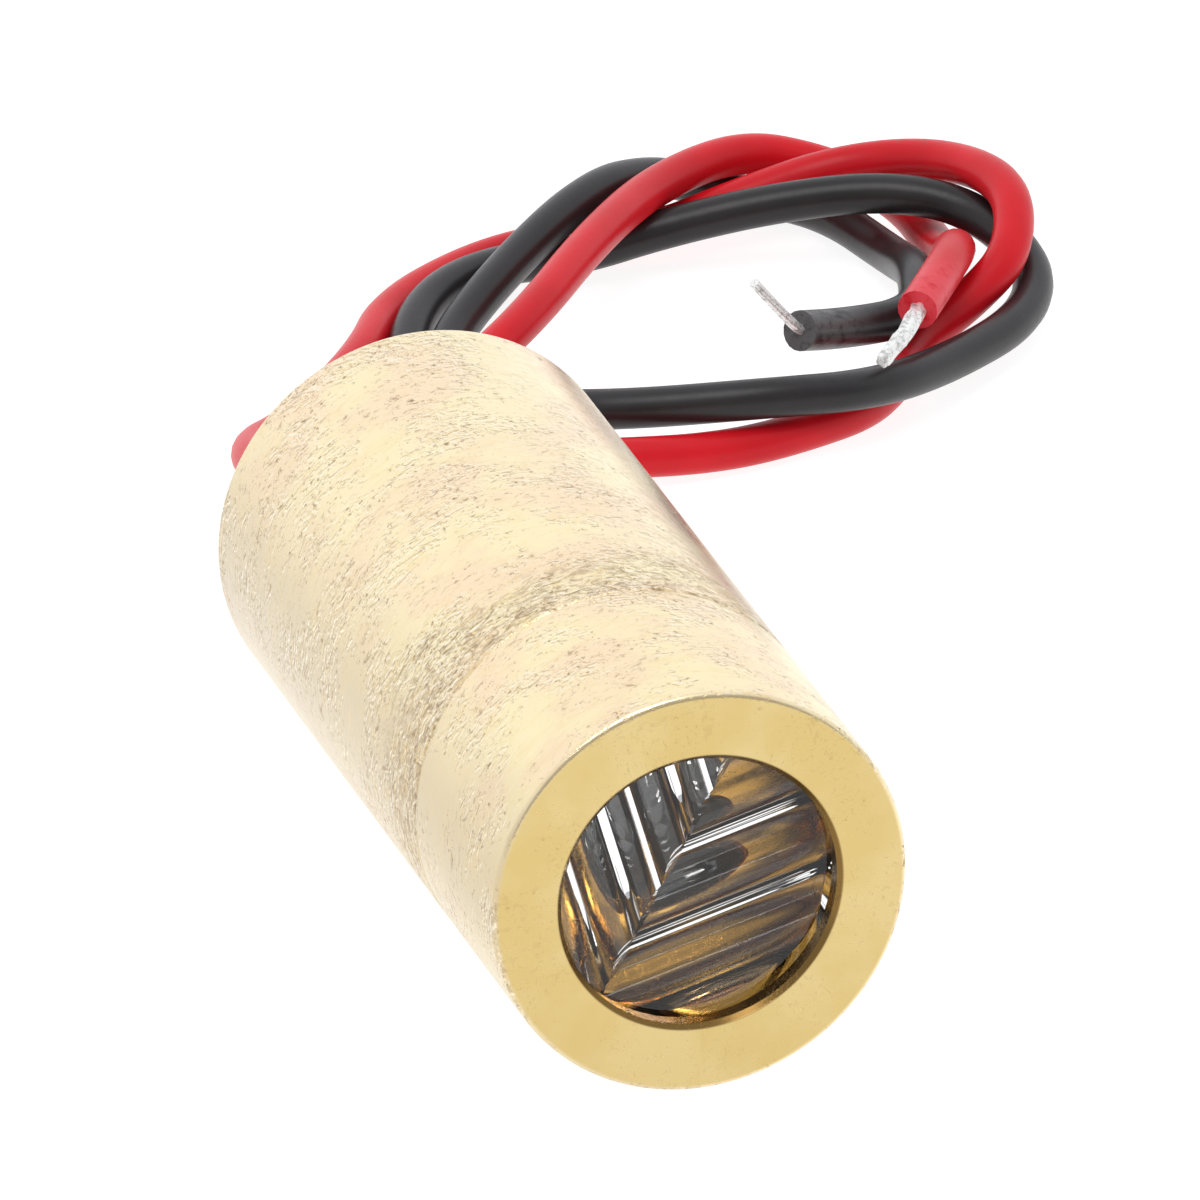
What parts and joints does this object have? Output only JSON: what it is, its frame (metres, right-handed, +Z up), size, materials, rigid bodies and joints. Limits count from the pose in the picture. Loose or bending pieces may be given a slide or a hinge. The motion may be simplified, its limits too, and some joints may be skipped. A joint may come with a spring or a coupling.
{
  "type": "laser diode module",
  "caption": "Cross-line laser diode module: round brass barrel with a ridged clear lens in its mouth, and a red and a black lead at the rear.",
  "frame": {"origin": "on the surface that it lies on, under the middle of the barrel", "axes": "+Z up, -Y along the barrel's axis towards the beam, +Y to the rear where the leads leave"},
  "size_m": [0.0242, 0.0445, 0.009],
  "materials": {
    "brass": "turned",
    "clear_lens": "clear moulded plastic",
    "spring_steel": "drawn wire",
    "plated_steel": "gold plated",
    "window_glass": "polished",
    "board": "solder mask",
    "solder": "bright",
    "chip_black": "moulded",
    "chip_tan": "ceramic",
    "resin": "cast resin",
    "red_insulation": "satin",
    "black_insulation": "satin",
    "tinned_copper": "tinned"
  },
  "bodies": {
    "root": {"barrel": "brass", "cross_line_lens": "clear_lens", "lens_cell": "brass", "collimator_lens": "clear_lens", "focus_spring": "spring_steel", "diode_bush": "brass", "diode_base": "plated_steel", "diode_cap": "plated_steel", "diode_window": "window_glass", "diode_pins": "plated_steel", "driver_board": "board", "pin_solder": "solder", "driver_transistor": "chip_black", "set_resistor": "chip_black", "filter_capacitor": "chip_tan", "lead_solder": "solder", "end_seal": "resin", "red_lead": "red_insulation", "black_lead": "black_insulation", "red_lead_core": "tinned_copper", "black_lead_core": "tinned_copper", "red_tinned_end": "tinned_copper", "black_tinned_end": "tinned_copper"}
  },
  "joints": []
}
